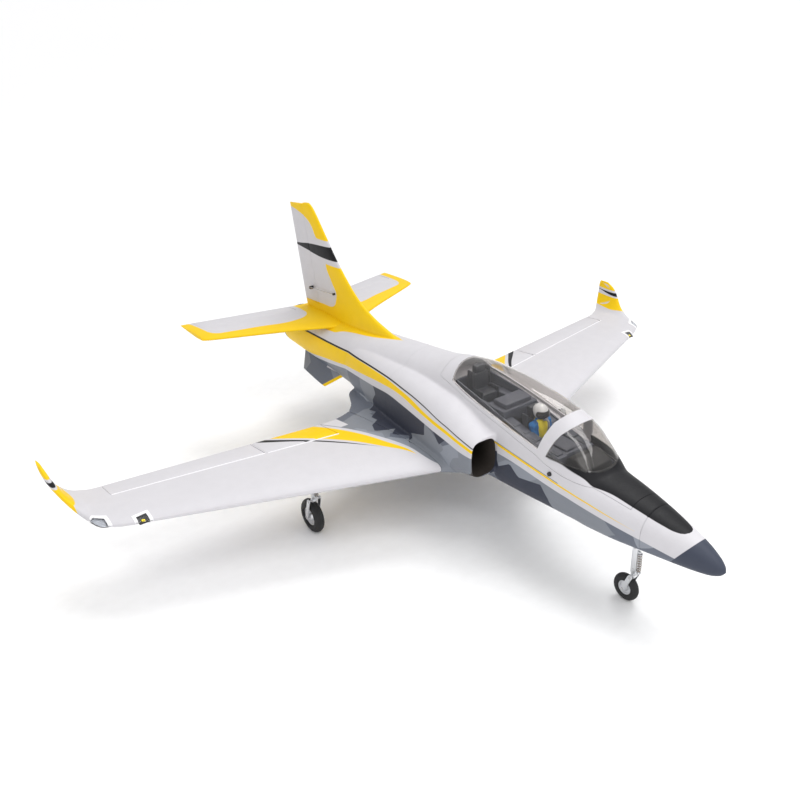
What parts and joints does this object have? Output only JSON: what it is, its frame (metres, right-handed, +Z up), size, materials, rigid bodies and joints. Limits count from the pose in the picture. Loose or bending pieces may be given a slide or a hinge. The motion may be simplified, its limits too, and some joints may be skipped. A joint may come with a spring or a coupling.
{
  "type": "rc jet plane",
  "caption": "Low-wing ducted-fan model jet with side intakes, lift-off canopy, hinged control surfaces and retracting sprung tricycle gear.",
  "frame": {"origin": "on the ground under the middle of the aeroplane's length and span", "axes": "+X to the aeroplane's left wing, -Y along the nose, +Z up"},
  "size_m": [1.1046, 0.9692, 0.3895],
  "materials": {
    "painted_foam": "satin paint over moulded bead foam",
    "clear_canopy": "clear formed plastic",
    "light_lens": "clear moulded plastic",
    "cockpit_plastic": "matte grey moulding",
    "pilot_suit": "painted figure",
    "pilot_helmet": "gloss white",
    "black_plastic": "matte black moulding",
    "motor_can": "machined",
    "exhaust_plastic": "dark grey",
    "battery_wrap": "heat-shrink wrap",
    "carbon": "carbon tube",
    "gear_alloy": "satin machined alloy",
    "tyre_rubber": "matte black rubber"
  },
  "bodies": {
    "airframe": {"nose_cone": "painted_foam", "fuselage_front": "painted_foam", "fuselage_rear": "painted_foam", "wing_left": "painted_foam", "wing_right": "painted_foam", "wing_spar": "carbon", "landing_light_left": "light_lens", "landing_light_right": "light_lens", "nav_light_left": "light_lens", "nav_light_right": "light_lens", "tailplane": "painted_foam", "fin": "painted_foam", "ventral_fin_left": "painted_foam", "ventral_fin_right": "painted_foam", "fan_housing": "black_plastic", "fan_motor": "motor_can", "exhaust_tube": "exhaust_plastic", "battery_tray": "black_plastic", "battery_pack": "battery_wrap", "speed_controller": "black_plastic", "receiver": "black_plastic", "aileron_servo_left": "black_plastic", "aileron_servo_right": "black_plastic", "flap_servo_left": "black_plastic", "flap_servo_right": "black_plastic", "main_retract_left": "black_plastic", "main_retract_right": "black_plastic", "nose_retract": "black_plastic"},
    "hatch": {"canopy_frame": "painted_foam", "windscreen": "clear_canopy", "canopy_glass": "clear_canopy", "cockpit_tub": "cockpit_plastic", "instrument_panel": "cockpit_plastic", "front_seat": "cockpit_plastic", "rear_seat": "cockpit_plastic", "pilot_body": "pilot_suit", "pilot_helmet": "pilot_helmet"},
    "latch_button": {"hatch_button": "black_plastic"},
    "fan": {"fan_rotor": "black_plastic"},
    "aileron_left": {"aileron_left": "painted_foam"},
    "aileron_right": {"aileron_right": "painted_foam"},
    "flap_left": {"flap_left": "painted_foam"},
    "flap_right": {"flap_right": "painted_foam"},
    "elevator_left": {"elevator_left": "painted_foam"},
    "elevator_right": {"elevator_right": "painted_foam"},
    "rudder": {"rudder": "painted_foam"},
    "nose_trunnion": {"nose_trunnion": "gear_alloy"},
    "nose_leg": {"nose_strut": "gear_alloy"},
    "nose_arm": {"nose_fork": "gear_alloy"},
    "nose_wheel": {"nose_tyre": "tyre_rubber", "nose_hub": "gear_alloy"},
    "main_leg_left": {"main_strut_left": "gear_alloy"},
    "main_arm_left": {"main_fork_left": "gear_alloy"},
    "main_wheel_left": {"main_left_tyre": "tyre_rubber", "main_left_hub": "gear_alloy"},
    "main_leg_right": {"main_strut_right": "gear_alloy"},
    "main_arm_right": {"main_fork_right": "gear_alloy"},
    "main_wheel_right": {"main_right_tyre": "tyre_rubber", "main_right_hub": "gear_alloy"}
  },
  "joints": [
    {"name": "hatch_lift", "type": "slide", "parent": "airframe", "child": "hatch", "axis": [0, 0, 1], "range_m": [0, 0.1]},
    {"name": "latch_press", "type": "slide", "parent": "airframe", "child": "latch_button", "axis": [1, 0, 0], "range_m": [0, 0.0015], "stiffness_N_per_m": 400},
    {"name": "fan_spin", "type": "hinge", "parent": "airframe", "child": "fan", "pos_m": [0, 0.1204, 0.146], "axis": [0, 1, 0], "continuous": true},
    {"name": "aileron_left_turn", "type": "hinge", "parent": "airframe", "child": "aileron_left", "pos_m": [0.27, 0.11186, 0.11822], "axis": [0.9866, 0.1628, 0.0099], "range_deg": [-22, 22]},
    {"name": "aileron_right_turn", "type": "hinge", "parent": "airframe", "child": "aileron_right", "pos_m": [-0.27, 0.11186, 0.11822], "axis": [0.9866, -0.1628, -0.0099], "range_deg": [-22, 22]},
    {"name": "flap_left_drop", "type": "hinge", "parent": "airframe", "child": "flap_left", "pos_m": [0.157, 0.09321, 0.11709], "axis": [-0.9866, -0.1628, -0.0099], "range_deg": [0, 35]},
    {"name": "flap_right_drop", "type": "hinge", "parent": "airframe", "child": "flap_right", "pos_m": [-0.157, 0.09321, 0.11709], "axis": [-0.9866, 0.1628, 0.0099], "range_deg": [0, 35]},
    {"name": "elevator_left_turn", "type": "hinge", "parent": "airframe", "child": "elevator_left", "pos_m": [0.0325, 0.41162, 0.1963], "axis": [0.9776, 0.2102, -0.0149], "range_deg": [-20, 20]},
    {"name": "elevator_right_turn", "type": "hinge", "parent": "airframe", "child": "elevator_right", "pos_m": [-0.0325, 0.41162, 0.1963], "axis": [0.9776, -0.2102, 0.0149], "range_deg": [-20, 20]},
    {"name": "rudder_turn", "type": "hinge", "parent": "airframe", "child": "rudder", "pos_m": [0, 0.37826, 0.212], "axis": [0, 0.1772, 0.9842], "range_deg": [-25, 25]},
    {"name": "main_left_retract", "type": "hinge", "parent": "airframe", "child": "main_leg_left", "pos_m": [0.231, 0.0464, 0.1085], "axis": [0, 1, 0], "range_deg": [0, 90]},
    {"name": "main_right_retract", "type": "hinge", "parent": "airframe", "child": "main_leg_right", "pos_m": [-0.231, 0.0464, 0.1085], "axis": [0, -1, 0], "range_deg": [0, 90]},
    {"name": "nose_retract", "type": "hinge", "parent": "airframe", "child": "nose_trunnion", "pos_m": [0, -0.3546, 0.108], "axis": [1, 0, 0], "range_deg": [0, 88]},
    {"name": "nose_steer", "type": "hinge", "parent": "nose_trunnion", "child": "nose_leg", "pos_m": [0, -0.3566, 0.0954], "axis": [0, 0, 1], "range_deg": [-25, 25]},
    {"name": "nose_arm_swing", "type": "hinge", "parent": "nose_leg", "child": "nose_arm", "pos_m": [0, -0.3566, 0.043], "axis": [1, 0, 0], "range_deg": [0, 8], "stiffness_Nm_per_rad": 1.5, "springref_deg": -20.05},
    {"name": "nose_wheel_spin", "type": "hinge", "parent": "nose_arm", "child": "nose_wheel", "pos_m": [0, -0.3466, 0.0195], "axis": [1, 0, 0], "continuous": true},
    {"name": "main_left_arm_swing", "type": "hinge", "parent": "main_leg_left", "child": "main_arm_left", "pos_m": [0.231, 0.0464, 0.058], "axis": [1, 0, 0], "range_deg": [0, 5], "stiffness_Nm_per_rad": 3, "springref_deg": -20.05},
    {"name": "main_left_wheel_spin", "type": "hinge", "parent": "main_arm_left", "child": "main_wheel_left", "pos_m": [0.231, 0.0554, 0.0265], "axis": [1, 0, 0], "continuous": true},
    {"name": "main_right_arm_swing", "type": "hinge", "parent": "main_leg_right", "child": "main_arm_right", "pos_m": [-0.231, 0.0464, 0.058], "axis": [1, 0, 0], "range_deg": [0, 5], "stiffness_Nm_per_rad": 3, "springref_deg": -20.05},
    {"name": "main_right_wheel_spin", "type": "hinge", "parent": "main_arm_right", "child": "main_wheel_right", "pos_m": [-0.231, 0.0554, 0.0265], "axis": [1, 0, 0], "continuous": true}
  ],
  "couplings": [
    {"joint": "aileron_right_turn", "follows": "aileron_left_turn", "ratio": -1},
    {"joint": "flap_right_drop", "follows": "flap_left_drop", "ratio": 1},
    {"joint": "elevator_right_turn", "follows": "elevator_left_turn", "ratio": 1},
    {"joint": "nose_steer", "follows": "rudder_turn", "ratio": -1},
    {"joint": "main_right_retract", "follows": "main_left_retract", "ratio": 1},
    {"joint": "nose_retract", "follows": "main_left_retract", "ratio": 0.9777}
  ]
}
